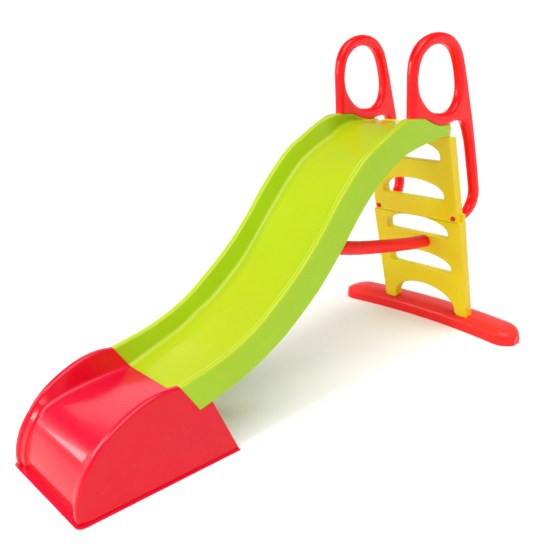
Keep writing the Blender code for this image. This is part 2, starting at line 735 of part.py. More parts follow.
def bar_outline():
    """Upper outline of the bar's section as (across, height) from front to rear, unit sized."""
    points = [(-1.0, 0.0)]
    for k in range(BAR_SIDES + 1):
        angle = math.pi * (1 - k / BAR_SIDES)
        across = math.copysign(abs(math.cos(angle)) ** BAR_FULLNESS, math.cos(angle))
        points.append((across, abs(math.sin(angle)) ** BAR_FULLNESS))
    points.append((1.0, 0.0))
    return points


def bar_ring(y):
    """Section of the foot bar at y: its ends are lower and narrower, and swept forwards."""
    reach = max(abs(y) - (BAR_HALF - BAR_END), 0) / BAR_END
    grow = max(math.sqrt(max(1 - reach * reach, 0)), BAR_END_WIDTH)
    height = BAR_HEIGHT * blend(BAR_END_HEIGHT, 1, grow) - BAR_SKIRT
    centre = BAR_MIDDLE_X - BAR_BOW * y * y
    outline = bar_outline()
    places = [(across, BAR_SKIRT + lift * height) for across, lift in outline[1:-1]]
    places = [outline[0]] + places + [outline[-1]]
    return [Vector((centre + across * BAR_WIDTH * grow, y, z)) for across, z in places]


def make_foot_bar(material):
    mesh = bpy.data.meshes.new("foot_bar")
    bm = bmesh.new()
    half = [BAR_SPACING * k for k in range(3)]
    half += [BAR_HALF - BAR_END * part for part in BAR_END_PARTS]
    places = sorted(set(half + [-y for y in half]))
    rings = [[bm.verts.new(place) for place in bar_ring(y)] for y in places]
    for low, high in zip(rings, rings[1:]):
        for k in range(len(low)):
            n = (k + 1) % len(low)
            bm.faces.new((low[k], low[n], high[n], high[k]))
    bm.faces.new(rings[0])
    bm.faces.new(rings[-1])
    bmesh.ops.recalc_face_normals(bm, faces=bm.faces)
    bm.to_mesh(mesh)
    bm.free()
    bar = add_object("foot_bar", mesh, material)
    for word, side in SIDES:
        low, high = sorted((side * POCKET_INNER, side * (LOWER_HALF + GAP)))
        pocket = leaned_box("leg_pocket", -GAP, LADDER_DEPTH + GAP, low, high, LEG_BOTTOM - GAP,
                            LEG_BOTTOM + BAR_HEIGHT)
        boolean(bar, add_cutter("leg_pocket_" + word, pocket))
    return bar


def make_brace(material):
    curve = bpy.data.curves.new("brace_bar", "CURVE")
    curve.dimensions = "3D"
    curve.bevel_depth = BRACE_RADIUS
    curve.bevel_resolution = 3
    curve.use_fill_caps = True
    stations = smooth_rows(BRACE_PATH, 2)
    spline = curve.splines.new("POLY")
    spline.points.add(len(stations) - 1)
    for point, place in zip(spline.points, stations):
        point.co = (place[0], BRACE_Y, place[1], 1)
    holder = bpy.data.objects.new("brace_bar", curve)
    bpy.context.scene.collection.objects.link(holder)
    evaluated = holder.evaluated_get(bpy.context.evaluated_depsgraph_get())
    mesh = bpy.data.meshes.new_from_object(evaluated)
    bpy.data.objects.remove(holder, do_unlink=True)
    bm = bmesh.new()
    bm.from_mesh(mesh)
    bmesh.ops.remove_doubles(bm, verts=bm.verts, dist=WELD)
    bmesh.ops.recalc_face_normals(bm, faces=bm.faces)
    bm.to_mesh(mesh)
    bm.free()
    mesh.name = "brace_bar"
    brace = add_object("brace_bar", mesh, material)
    trim = leaned_box("brace_trim", -GAP, LADDER_DEPTH, -LOWER_HALF, LOWER_HALF, LEG_BOTTOM, LAP_LOW)
    boolean(brace, add_cutter("brace_trim", trim))
    return brace


# ---------------------------------------------------------------- fasteners

def add_turned(name, mesh, material):
    item = add_object(name, mesh, material)
    smooth_shading(item)
    return item


def fasteners(name, size, places, material, pierced):
    """Bolts, and the holes for them in the pieces they pass through.

    `places` maps a label to the seat of the bolt's head and the direction its head faces, and
    `pierced` lists each piece with the labels of the bolts that enter it.
    """
    bolt = bolt_mesh(name, size)
    clearance = clearance_mesh(name, size)
    for label, (seat, head_way) in places.items():
        add_turned(name + label, aimed(bolt, seat, head_way), material)
    for item, labels in pierced:
        holes = [aimed(clearance, *places[label]) for label in labels]
        boolean(item, add_cutter(name + "_for_" + item.name, join_meshes(name + "_holes", holes)))


def add_hose_connector(chute, materials):
    """Outlet through the platform, sealed and nutted below, with a barbed tail for a hose."""
    floor = TREAD_TOP
    stem_end = floor - OUTLET_STEM
    dome = [(radius, floor + height) for radius, height in OUTLET_DOME]
    outlet = [(OUTLET_BORE, dome[0][1])] + dome
    outlet += [(OUTLET_FLANGE, floor + GAP), (OUTLET_NECK, floor + GAP), (OUTLET_NECK, stem_end),
               (OUTLET_BORE, stem_end)]
    seal_top = floor - WALL - GAP
    nut_top = seal_top - SEAL_THICK - GAP
    neck_hole = OUTLET_NECK + HOLE_EASE
    seal = [(neck_hole, seal_top), (SEAL_RADIUS, seal_top), (SEAL_RADIUS, seal_top - SEAL_THICK),
            (neck_hole, seal_top - SEAL_THICK)]
    tail = [(TAIL_BORE, stem_end - GAP), (OUTLET_NECK, stem_end - GAP), (OUTLET_NECK, stem_end - TAIL_COLLAR)]
    barb_top = stem_end - TAIL_COLLAR - TAIL_NECK
    for k in range(TAIL_BARBS):
        tail += [(TAIL_SLIM, barb_top - k * TAIL_BARB), (TAIL_WIDE, barb_top - (k + 0.25) * TAIL_BARB)]
    tail_end = barb_top - TAIL_BARBS * TAIL_BARB
    tail += [(TAIL_SLIM, tail_end), (TAIL_BORE, tail_end)]
    for name, profile, material in (("hose_outlet", outlet, "chute"), ("hose_seal", seal, "rubber"),
                                    ("hose_tail", tail, "nylon")):
        ring = turned_mesh(name, profile, closed=True)
        ring.transform(Matrix.Translation((OUTLET_X, 0, 0)))
        smooth_shading(add_object(name, ring, materials[material]))
    nut = hex_nut_mesh("hose_lock_nut", LOCK_NUT, neck_hole, LOCK_NUT_HEIGHT)
    nut.transform(Matrix.Translation((OUTLET_X, 0, nut_top - LOCK_NUT_HEIGHT)))
    add_object("hose_lock_nut", nut, materials["nylon"])
    above = floor + OUTLET_CUT
    below = floor - OUTLET_CUT
    hole = turned_mesh("outlet_hole", [(0, above), (neck_hole, above), (neck_hole, below), (0, below)])
    hole.transform(Matrix.Translation((OUTLET_X, 0, 0)))
    boolean(chute, add_cutter("outlet_hole", hole))


def add_ladder_bolts(pieces, materials):
    """Bolts through the ladder's lap joint, with nuts in slots in the handrails' ends."""
    face = ladder_face(LADDER_BOLT_Z) - GAP
    places = {"_" + word: ((face, side * LADDER_BOLT_Y, LADDER_BOLT_Z), (-1, 0, 0)) for word, side in SIDES}
    pierced = [(pieces["ladder_lower"], places), (pieces["ladder_upper"], places)]
    pierced += [(pieces["handrail_" + word], ["_" + word]) for word, side in SIDES]
    fasteners("ladder_bolt", LADDER_BOLT, places, materials["dark_red"], pierced)
    nut = hex_nut_mesh("ladder_nut", LADDER_NUT, LADDER_BOLT[2] + HOLE_EASE, NUT_HEIGHT)
    reach = LADDER_NUT + HOLE_EASE
    for word, side in SIDES:
        y = side * LADDER_BOLT_Y
        copy = aimed(nut, (LADDER_NUT_X, y, LADDER_BOLT_Z), (1, 0, 0))
        add_object("ladder_nut_" + word, copy, materials["steel"])
        slot = box_mesh("nut_slot", (LADDER_NUT_X - GAP, y - reach, LAP_LOW - LADDER_DEPTH),
                        (LADDER_NUT_X + NUT_HEIGHT + GAP, y + reach, LADDER_BOLT_Z + reach))
        boolean(pieces["handrail_" + word], add_cutter("nut_slot_" + word, slot))


def add_handrail_screws(pieces, materials):
    """Screws from inside the chute's ridges up into the handrails."""
    for end, (x, z) in (("front", RAIL_SCREW_FRONT), ("rear", RAIL_SCREW_REAR)):
        places = {"_" + word: ((x, side * rail_y(x), z), (0, 0, -1)) for word, side in SIDES}
        pierced = [(pieces["chute"], places)]
        pierced += [(pieces["handrail_" + word], ["_" + word]) for word, side in SIDES]
        fasteners("handrail_screw_" + end, RAIL_SCREW, places, materials["steel"], pierced)


def add_joint_screws(pieces, materials):
    """Short screws from inside the run-out's tongue into the chute's skirts."""
    for end, (x, z, y) in (("upper", JOINT_SCREW_UPPER), ("lower", JOINT_SCREW_LOWER)):
        places = {"_" + word: ((x, side * y, z), (0, -side, 0)) for word, side in SIDES}
        pierced = [(pieces["run_out"], places), (pieces["chute"], places)]
        fasteners("joint_screw_" + end, JOINT_SCREW, places, materials["steel"], pierced)


def add_chute_end_screws(pieces, materials):
    """Screws through the skirts into the ladder's ledge."""
    x, z = END_SCREW_PLACE
    places = {"_" + word: ((x, side * END_SCREW_Y, z), (0, side, 0)) for word, side in SIDES}
    pierced = [(pieces["chute"], places), (pieces["ladder_upper"], places)]
    fasteners("chute_end_screw", END_SCREW, places, materials["steel"], pierced)


def add_brace_fixings(pieces, materials):
    """Bolt through the ladder into the brace, and the cross bolt between the chute's lugs."""
    rear = ladder_face(BRACE_BOLT_Z) + LADDER_DEPTH + GAP
    places = {"": ((rear, BRACE_Y, BRACE_BOLT_Z), (1, 0, 0))}
    pierced = [(pieces["ladder_lower"], places), (pieces["brace_bar"], places)]
    fasteners("brace_ladder_bolt", BRACE_BOLT, places, materials["steel"], pierced)

    x, z = PIVOT
    outside = EAR_Y + EAR_THICK + GAP
    places = {"": ((x, BRACE_Y - outside, z), (0, -1, 0))}
    pierced = [(pieces["chute"], places), (pieces["brace_bar"], places)]
    fasteners("brace_chute_bolt", PIVOT_BOLT, places, materials["steel"], pierced)
    bore = PIVOT_BOLT[2] + HOLE_EASE
    nut = hex_nut_mesh("brace_chute_nut", PIVOT_NUT, bore, NUT_HEIGHT)
    add_object("brace_chute_nut", aimed(nut, (x, BRACE_Y + outside, z), (0, 1, 0)), materials["steel"])
    rim = [(bore, WASHER_THICK), (WASHER_RADIUS, WASHER_THICK), (WASHER_RADIUS, 0), (bore, 0)]
    washer = turned_mesh("brace_washer", rim, closed=True)
    for word, side in SIDES:
        copy = aimed(washer, (x, BRACE_Y + side * (EAR_Y - GAP), z), (0, -side, 0))
        add_turned("brace_washer_" + word, copy, materials["nylon"])


def add_foot_screws(pieces, materials):
    """Screws from below the foot bar up into the ladder's legs."""
    x = ladder_face(LEG_BOTTOM) + LADDER_DEPTH / 2
    for end, y in (("inner", FOOT_SCREW_INNER), ("outer", FOOT_SCREW_OUTER)):
        places = {"_" + word: ((x, side * y, FOOT_SCREW_SEAT), (0, 0, -1)) for word, side in SIDES}
        pierced = [(pieces["foot_bar"], places), (pieces["ladder_lower"], places)]
        fasteners("foot_screw_" + end, FOOT_SCREW, places, materials["steel"], pierced)


def main():
    clear_scene()
    new_collection(COLLECTION)
    new_collection(CUTTERS)
    origin = bpy.data.objects.new("slide_origin", None)
    bpy.data.collections[COLLECTION].objects.link(origin)
    origin.location = (-OVERALL_LENGTH / 2, 0, 0)
    materials = make_materials()

    pieces = {"chute": make_chute(materials["chute"]), "run_out": make_run_out(materials["red"])}
    pieces["ladder_lower"], pieces["ladder_upper"] = make_ladder(materials["yellow"])
    for name, side in (("handrail_left", 1), ("handrail_right", -1)):
        pieces[name] = make_handrail(name, side, materials["red"])
    pieces["foot_bar"] = make_foot_bar(materials["red"])
    pieces["brace_bar"] = make_brace(materials["red"])
    for item in pieces.values():
        smooth_shading(item)
    add_hose_connector(pieces["chute"], materials)
    add_ladder_bolts(pieces, materials)
    add_handrail_screws(pieces, materials)
    add_joint_screws(pieces, materials)
    add_chute_end_screws(pieces, materials)
    add_brace_fixings(pieces, materials)
    add_foot_screws(pieces, materials)


main()
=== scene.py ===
"""Looks of the children's wave slide: fine moulded shells, plastics, studio and camera.

Lengths are in metres.  In the shape code X runs from the run-out's front lip, and every finished
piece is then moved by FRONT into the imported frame.  Y and Z are the frame's own.
"""

import json
import math

import bmesh
import bpy
import numpy as np
from mathutils import Matrix, Vector


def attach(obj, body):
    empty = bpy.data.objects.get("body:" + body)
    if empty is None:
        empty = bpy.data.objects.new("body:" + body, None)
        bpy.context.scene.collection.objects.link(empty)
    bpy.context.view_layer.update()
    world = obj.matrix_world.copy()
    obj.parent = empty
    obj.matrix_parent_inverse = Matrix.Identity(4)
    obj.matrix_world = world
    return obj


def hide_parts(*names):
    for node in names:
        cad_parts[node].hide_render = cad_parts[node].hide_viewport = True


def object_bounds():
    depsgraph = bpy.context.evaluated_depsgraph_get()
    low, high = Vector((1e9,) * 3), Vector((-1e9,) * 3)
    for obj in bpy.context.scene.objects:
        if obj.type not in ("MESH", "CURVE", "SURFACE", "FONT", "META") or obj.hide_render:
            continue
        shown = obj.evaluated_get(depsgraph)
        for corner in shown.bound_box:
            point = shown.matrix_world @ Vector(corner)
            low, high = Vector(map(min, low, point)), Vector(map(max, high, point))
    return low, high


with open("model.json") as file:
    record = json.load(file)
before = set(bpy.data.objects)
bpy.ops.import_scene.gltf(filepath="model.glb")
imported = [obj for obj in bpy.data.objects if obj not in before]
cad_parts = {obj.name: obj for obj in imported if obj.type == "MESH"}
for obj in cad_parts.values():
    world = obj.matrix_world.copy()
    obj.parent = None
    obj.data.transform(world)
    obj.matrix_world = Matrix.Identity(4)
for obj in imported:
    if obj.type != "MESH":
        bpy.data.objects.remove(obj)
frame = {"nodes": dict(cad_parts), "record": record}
CAD_LOW, CAD_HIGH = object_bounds()
FRONT = CAD_LOW.x
BODY = "root"
GAP = 0.0003
SIDES = (("left", 1), ("right", -1))

# Channel section: ridge, inner wall and floor
WALL = 0.004
RIM_ROUNDING = 0.0012
END_TRIM = 0.0005
FLOOR_EDGE = 0.142
FLOOR_EDGE_TOP = 0.150
FILLET = 0.020
RIDGE_OUT = 0.1900
RIDGE_IN = 0.1850
RIDGE_RADIUS = 0.0115
RIDGE_OUT_TOP = 0.1940
RIDGE_IN_TOP = 0.1645
RIDGE_RADIUS_TOP = 0.0075
SKIRT_HALF = 0.2045
STEEPEST_WALL = math.radians(70)
PLATFORM_START = 1.38
PLATFORM_FULL = 1.46

# Chute stations in side view: ridge x, z, floor x, z, skirt's lower edge x, z
CHUTE_ROWS = [
    (0.361, 0.2935, 0.407, 0.219, 0.428, 0.193),
    (0.499, 0.3220, 0.515, 0.256, 0.526, 0.217),
    (0.595, 0.3540, 0.620, 0.293, 0.637, 0.251),
    (0.676, 0.3940, 0.707, 0.340, 0.733, 0.295),
    (0.743, 0.4390, 0.783, 0.381, 0.812, 0.340),
    (0.868, 0.5360, 0.914, 0.484, 0.949, 0.442),
    (0.972, 0.6410, 1.018, 0.600, 1.064, 0.557),
    (1.065, 0.7520, 1.115, 0.707, 1.158, 0.669),
    (1.178, 0.8630, 1.218, 0.808, 1.252, 0.761),
    (1.267, 0.9170, 1.298, 0.858, 1.324, 0.810),
    (1.375, 0.9700, 1.400, 0.903, 1.420, 0.862),
    (1.445, 0.9917, 1.470, 0.933, 1.485, 0.881),
    (1.537, 0.9917, 1.537, 0.954, 1.540, 0.893),
    (1.572, 0.9827, 1.572, 0.9555, 1.575, 0.899),
    (1.615, 0.9687, 1.615, 0.9555, 1.615, 0.905),
    (1.666, 0.9612, 1.666, 0.9555, 1.666, 0.912),
    (1.7217, 0.9612, 1.7217, 0.9555, 1.7217, 0.918),
]
JOINT_LAP = 0.005
LEDGE_DROP = 0.001

# Run-out stations: ridge x, z, floor x, z, and x where the side wall meets the ground lip
RUN_OUT_ROWS = [
    (0.007, 0.004, 0.023, 0.004, 0.040),
    (0.005, 0.038, 0.025, 0.040, 0.055),
    (0.012, 0.078, 0.032, 0.078, 0.080),
    (0.026, 0.117, 0.043, 0.113, 0.110),
    (0.043, 0.147, 0.057, 0.141, 0.145),
    (0.066, 0.177, 0.076, 0.163, 0.185),
    (0.095, 0.210, 0.104, 0.182, 0.225),
    (0.135, 0.241, 0.142, 0.195, 0.270),
    (0.187, 0.269, 0.195, 0.205, 0.315),
    (0.250, 0.292, 0.262, 0.212, 0.360),
    (0.310, 0.299, 0.330, 0.2165, 0.420),
    (0.361, 0.2935, 0.407, 0.219, 0.495),
]
RUN_OUT_BACK = 0.562
WALL_FOOT = 0.2055
WALL_FLARE = 0.0165
WALL_LEDGE = 0.2040
LIP_HALF = 0.2135
LIP_CORNER = 0.022
LEDGE_PART = 0.55
SHELL_STEPS = 6
TONGUE_STEPS = 3

# Ladder
LEAN = 0.295
LEAN_Z = 0.0585
LEAN_X = 1.9625
LADDER_DEPTH = 0.050
LADDER_EDGE = 0.006
TREADS = [(0.275, 0.166), (0.451, 0.163), (0.628, 0.158), (0.801, 0.155)]
OPENING_HEIGHT = 0.086
OPENING_END = 0.015
OPENING_CORNER = 0.012
LOWER_HALF = 0.232
UPPER_HALF_LOW = 0.221
UPPER_HALF_TOP = 0.211
LEG_BOTTOM = 0.050
LEG_INNER = 0.165
LEG_CHAMFER = 0.180
LEG_CHAMFER_HEIGHT = 0.022
POCKET_INNER = 0.167
ARCH_HALF = 0.165
ARCH_SPRING = 0.085
ARCH_TOP = 0.187
LAP_LOW = 0.535
LAP_HIGH = 0.575
LAP_MIDDLE = 0.555
LAP_REACH = 0.2
LADDER_TOP = 0.908
TREAD_TOP = 0.9555
TREAD_BOTTOM = 0.890
TREAD_HALF = 0.158
TREAD_REAR = 1.800
LEDGE_FRONT = 1.700
LEDGE_BACK = 1.742
LEDGE_BOTTOM = 0.900
LEDGE_HALF = 0.196

# Handrails
RAIL_FRONT = 1.458
RAIL_Y = 0.175
RAIL_SPLAY = 0.044
RAIL_HALF = 0.021
RAIL_EDGE = 0.0175
RAIL_OUTER = [
    (1.466, 1.061), (1.461, 1.115), (1.458, 1.165), (1.466, 1.214), (1.496, 1.257), (1.542, 1.285),
    (1.597, 1.300), (1.652, 1.300), (1.703, 1.288), (1.746, 1.260), (1.778, 1.220), (1.818, 1.134),
    (1.850, 1.055), (1.901, 0.930), (1.948, 0.797), (1.978, 0.705), (1.993, 0.651), (1.984, 0.600),
    (1.952, 0.562), (1.906, 0.540),
]
RAIL_INNER = [
    (1.909, 0.584), (1.934, 0.609), (1.947, 0.640), (1.941, 0.680), (1.903, 0.794), (1.876, 0.870),
    (1.844, 0.932), (1.823, 0.958), (1.795, 0.969), (1.759, 0.969), (1.725, 0.962), (1.689, 0.953),
    (1.652, 0.950), (1.606, 0.957), (1.564, 0.971), (1.532, 0.980),
]
RAIL_HOLE = [
    (1.496, 1.150), (1.510, 1.205), (1.554, 1.243), (1.606, 1.258), (1.658, 1.256), (1.705, 1.236),
    (1.738, 1.196), (1.765, 1.130), (1.772, 1.080), (1.755, 1.035), (1.717, 1.010), (1.661, 1.005),
    (1.606, 1.012), (1.560, 1.035), (1.517, 1.075), (1.500, 1.110),
]
RAIL_FOOT = [(1.476, 0.975), (1.471, 1.010)]
RAIL_END = (0.535, 0.575)
SADDLE_BOTTOM = 0.80
RAIL_STEPS = 5

# Foot bar and brace
BAR_HALF = 0.477
BAR_WIDTH = 0.0855
BAR_HEIGHT = 0.066
BAR_SKIRT = 0.010
BAR_FULLNESS = 0.55
BAR_MIDDLE_X = 2.0345
BAR_BOW = 0.25
BAR_END = 0.085
BAR_END_WIDTH = 0.30
BAR_END_HEIGHT = 0.45
BRACE_PATH = [(1.890, 0.418), (1.820, 0.420), (1.680, 0.436), (1.500, 0.461),
              (1.330, 0.490), (1.180, 0.527), (1.058, 0.573)]
BRACE_RADIUS = 0.0285
BRACE_Y = -0.0415
PIVOT = (1.075, 0.566)
EAR_Y = 0.0300
EAR_THICK = 0.006
EAR_LENGTH = 0.036
EAR_BELOW = 0.016
EAR_ABOVE = 0.063
EAR_TILT = math.radians(48)
OUTLET_X = 1.600
OUTLET_HOLE = 0.0105


# ---------------------------------------------------------------- curves and lofts

def blend(low, high, part):
    return low + (high - low) * part


def smooth_rows(rows, steps):
    """Stations on a Catmull-Rom curve through the rows, `steps` to each span."""
    rows = np.array(rows)
    padded = np.vstack([2 * rows[0] - rows[1], rows, 2 * rows[-1] - rows[-2]])
    stations = []
    for i in range(len(rows) - 1):
        a, b, c, d = padded[i:i + 4]
        for k in range(steps):
            t = k / steps
            bend = (2 * a - 5 * b + 4 * c - d) * t * t + (3 * b - a - 3 * c + d) * t ** 3
            stations.append(0.5 * (2 * b + (c - a) * t + bend))
    stations.append(rows[-1])
    return stations


def closed_smooth(points, steps):
    """Points on a closed Catmull-Rom curve."""
    count = len(points)
    rows = np.array([points[(i - 1) % count] for i in range(count + 3)])
    return [tuple(place) for place in smooth_rows(rows, steps)[steps:-steps - 1]]


def half_section(station, inset):
    """Half outline of the channel at a station, from the skirt's lower edge to the middle."""
    ridge = Vector((station[0], 0, station[1]))
    floor = Vector((station[2], 0, station[3]))
    skirt = Vector((station[4], 0, station[5]))
    part = min(max((station[0] - PLATFORM_START) / (PLATFORM_FULL - PLATFORM_START), 0), 1)
    radius = blend(RIDGE_RADIUS, RIDGE_RADIUS_TOP, part)
    ridge_out = blend(RIDGE_OUT, RIDGE_OUT_TOP, part)
    ridge_in = blend(RIDGE_IN, RIDGE_IN_TOP, part)
    edge = blend(FLOOR_EDGE, FLOOR_EDGE_TOP, part)
    depth = (floor - ridge).length
    down_in = (floor - ridge) / depth
    down_out = (skirt - ridge).normalized()
    turn = min(STEEPEST_WALL, math.acos(max(1 - 0.45 * depth / radius, 0)))
    fillet = min(FILLET, 0.45 * depth / (1 - math.cos(turn)))
    small = radius - inset

    points = [skirt + Vector((0, SKIRT_HALF - inset, 0))]
    for angle in np.radians([90, 75, 60, 45, 30, 15, 0]):
        side = Vector((0, ridge_out + small * math.sin(angle), 0))
        points.append(ridge + down_out * (radius - small * math.cos(angle)) + side)
    for angle in np.linspace(0, turn, 6):
        side = Vector((0, ridge_in - small * math.sin(angle), 0))
        points.append(ridge + down_in * (radius - small * math.cos(angle)) + side)
    for angle in np.linspace(turn, 0, 7):
        side = Vector((0, edge + (fillet + inset) * math.sin(angle), 0))
        drop = depth - fillet + (fillet + inset) * math.cos(angle)
        points.append(ridge + down_in * drop + side)
    for part in (0.7, 0.35, 0.0):
        points.append(floor + down_in * inset + Vector((0, edge * part, 0)))
    return points


def shell_mesh(name, outer, inner):
    """Closed half shell between two point grids, open on the middle plane y = 0."""
    mesh = bpy.data.meshes.new(name)
    bm = bmesh.new()
    top = [[bm.verts.new(p) for p in row] for row in outer]
    under = [[bm.verts.new(p) for p in row] for row in inner]
    rows = len(top)
    columns = len(top[0])
    for i in range(rows - 1):
        for j in range(columns - 1):
            bm.faces.new((top[i][j], top[i][j + 1], top[i + 1][j + 1], top[i + 1][j]))
            bm.faces.new((under[i][j], under[i + 1][j], under[i + 1][j + 1], under[i][j + 1]))
        bm.faces.new((top[i][0], top[i + 1][0], under[i + 1][0], under[i][0]))
    for j in range(columns - 1):
        bm.faces.new((top[0][j], under[0][j], under[0][j + 1], top[0][j + 1]))
        bm.faces.new((top[-1][j], top[-1][j + 1], under[-1][j + 1], under[-1][j]))
    bmesh.ops.remove_doubles(bm, verts=bm.verts, dist=1e-5)
    bm.to_mesh(mesh)
    bm.free()
    return mesh


def plate(name, outlines, half_depth, edge, axes, steps=4):
    """Mesh of a flat outline with holes, given thickness and rounded edges."""
    curve = bpy.data.curves.new(name, "CURVE")
    curve.dimensions = "2D"
    curve.fill_mode = "BOTH"
    curve.extrude = half_depth - edge
    curve.bevel_depth = edge
    curve.bevel_resolution = steps
    curve.offset = -edge
    for outline in outlines:
        spline = curve.splines.new("POLY")
        spline.points.add(len(outline) - 1)
        for point, place in zip(spline.points, outline):
            point.co = (place[0], place[1], 0, 1)
        spline.use_cyclic_u = True
    mesh = curve_mesh(name, curve)
    mesh.transform(Matrix([Vector(axis) for axis in axes]).transposed().to_4x4())
    return tidied(mesh)


def curve_mesh(name, curve):
    holder = bpy.data.objects.new(name, curve)
    bpy.context.scene.collection.objects.link(holder)
    mesh = evaluated_mesh(holder)
    bpy.data.objects.remove(holder, do_unlink=True)
    bpy.data.curves.remove(curve)
    mesh.name = name
    return mesh


def tidied(mesh):
    """Weld a mesh's seams and turn its faces outwards."""
    bm = bmesh.new()
    bm.from_mesh(mesh)
    bmesh.ops.remove_doubles(bm, verts=bm.verts, dist=1e-5)
    bmesh.ops.recalc_face_normals(bm, faces=bm.faces)
    bm.to_mesh(mesh)
    bm.free()
    return mesh


def evaluated_mesh(item):
    graph = bpy.context.evaluated_depsgraph_get()
    return bpy.data.meshes.new_from_object(item.evaluated_get(graph))


def box_mesh(name, low, high):
    mesh = bpy.data.meshes.new(name)
    bm = bmesh.new()
    bmesh.ops.create_cube(bm, size=1.0)
    size = Vector(abs(b - a) for a, b in zip(low, high))
    bmesh.ops.scale(bm, vec=size, verts=bm.verts)
    bmesh.ops.translate(bm, vec=(Vector(high) + Vector(low)) / 2, verts=bm.verts)
    bm.to_mesh(mesh)
    bm.free()
    return mesh


def bevelled(mesh, width, segments=3):
    bm = bmesh.new()
    bm.from_mesh(mesh)
    bmesh.ops.bevel(bm, geom=bm.edges, offset=width, segments=segments, affect="EDGES", profile=0.5)
    bm.to_mesh(mesh)
    bm.free()
    return mesh


def combined(mesh, changes):
    """The mesh after a list of (operation, tool mesh) booleans."""
    holder = bpy.data.objects.new("holder", mesh)
    bpy.context.scene.collection.objects.link(holder)
    tools = []
    for operation, tool_mesh in changes:
        tool = bpy.data.objects.new("tool", tool_mesh)
        bpy.context.scene.collection.objects.link(tool)
        modifier = holder.modifiers.new("change", "BOOLEAN")
        modifier.operation = operation
        modifier.solver = "EXACT"
        modifier.object = tool
        tools.append(tool)
    result = evaluated_mesh(holder)
    for item in tools + [holder]:
        bpy.data.objects.remove(item, do_unlink=True)
    return result


def with_rounded_rims(mesh, width, segments=2, angle=50, mirrored=False):
    """The mesh, mirrored across y = 0 if asked, with its sharp edges rounded."""
    holder = bpy.data.objects.new("holder", mesh)
    bpy.context.scene.collection.objects.link(holder)
    if mirrored:
        modifier = holder.modifiers.new("other half", "MIRROR")
        modifier.use_axis = (False, True, False)
        modifier.merge_threshold = 0.0001
    modifier = holder.modifiers.new("rounded rims", "BEVEL")
    modifier.width = width
    modifier.segments = segments
    modifier.limit_method = "ANGLE"
    modifier.angle_limit = math.radians(angle)
    result = evaluated_mesh(holder)
    bpy.data.objects.remove(holder, do_unlink=True)
    return result


def add_piece(name, mesh, material, node, angle=35, evened=True):
    """Put a finished piece in the scene, in the place of its CAD node.

    `evened` weights its normals by face area, which keeps the wide faces beside a bevel flat.
    """
    mesh.transform(Matrix.Translation((FRONT, 0, 0)))
    mesh.materials.clear()
    mesh.materials.append(material)
    mesh.shade_smooth()
    mesh.set_sharp_from_angle(angle=math.radians(angle))
    piece = bpy.data.objects.new(name, mesh)
    bpy.context.scene.collection.objects.link(piece)
    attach(piece, BODY)
    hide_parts(node)
    if evened:
        even = piece.modifiers.new("even normals", "WEIGHTED_NORMAL")
        even.keep_sharp = True


# ---------------------------------------------------------------- chute and run-out

def make_chute(material):
    stations = smooth_rows(CHUTE_ROWS, SHELL_STEPS)
    first = stations[0].copy()
    first[0::2] += END_TRIM
    stations[0] = first
    outer = [half_section(station, 0) for station in stations]
    inner = [half_section(station, WALL) for station in stations]
    mesh = with_rounded_rims(shell_mesh("chute", outer, inner), RIM_ROUNDING, mirrored=True)
    changes = []
    for side in (1, -1):
        ear = box_mesh("ear", (-EAR_LENGTH / 2, side * EAR_Y, -EAR_BELOW),
                       (EAR_LENGTH / 2, side * (EAR_Y + EAR_THICK), EAR_ABOVE))
        turn = Matrix.Rotation(-EAR_TILT, 4, "Y")
        bevelled(ear, 0.0015)
        ear.transform(Matrix.Translation((PIVOT[0], BRACE_Y, PIVOT[1])) @ turn)
        changes.append(("UNION", ear))
    hole = bpy.data.meshes.new("hole")
    bm = bmesh.new()
    bmesh.ops.create_cone(bm, cap_ends=True, segments=32, radius1=OUTLET_HOLE, radius2=OUTLET_HOLE,
                          depth=0.04)
    bmesh.ops.translate(bm, vec=(OUTLET_X, 0, TREAD_TOP), verts=bm.verts)
    bm.to_mesh(hole)
    bm.free()
    changes.append(("DIFFERENCE", hole))
    return add_piece("chute_shell", combined(mesh, changes), material, "chute")


def lip_point(point, z):
    """Where the ground lip's edge lies outside a point of the front row."""
    centre = Vector((LIP_CORNER, LIP_HALF - LIP_CORNER, 0))
    flat = Vector((point.x, point.y, 0))
    if flat.y <= centre.y:
        return Vector((0, flat.y, z))
    if flat.x >= centre.x:
        return Vector((flat.x, LIP_HALF + flare(flat.x), z))
    edge = centre + (flat - centre).normalized() * LIP_CORNER
    return Vector((edge.x, edge.y, z))


def flare(x):
    return WALL_FLARE * x / RUN_OUT_BACK


def run_out_half(station, inset, lap, shift, ledge_drop):
    """Half section of the run-out, from the ground lip to the middle."""
    ridge_x, ridge_z, floor_x, floor_z, ledge_x, ledge_z, foot_x = station
    section = [ridge_x + shift, ridge_z, floor_x + shift, floor_z, ledge_x + shift, ledge_z - ledge_drop]
    points = half_section(section, inset + lap)
    ground = 0.0 if inset else WALL
    foot = Vector((foot_x, WALL_FOOT + flare(foot_x) - inset, ground))
    ledge = Vector((ledge_x + shift, WALL_LEDGE - inset, ledge_z - ledge_drop))
    lip = Vector((foot_x, LIP_HALF + flare(foot_x), ground))
    if lap == 0:
        points[0] = ledge.copy()
    return [lip, foot, ledge] + points


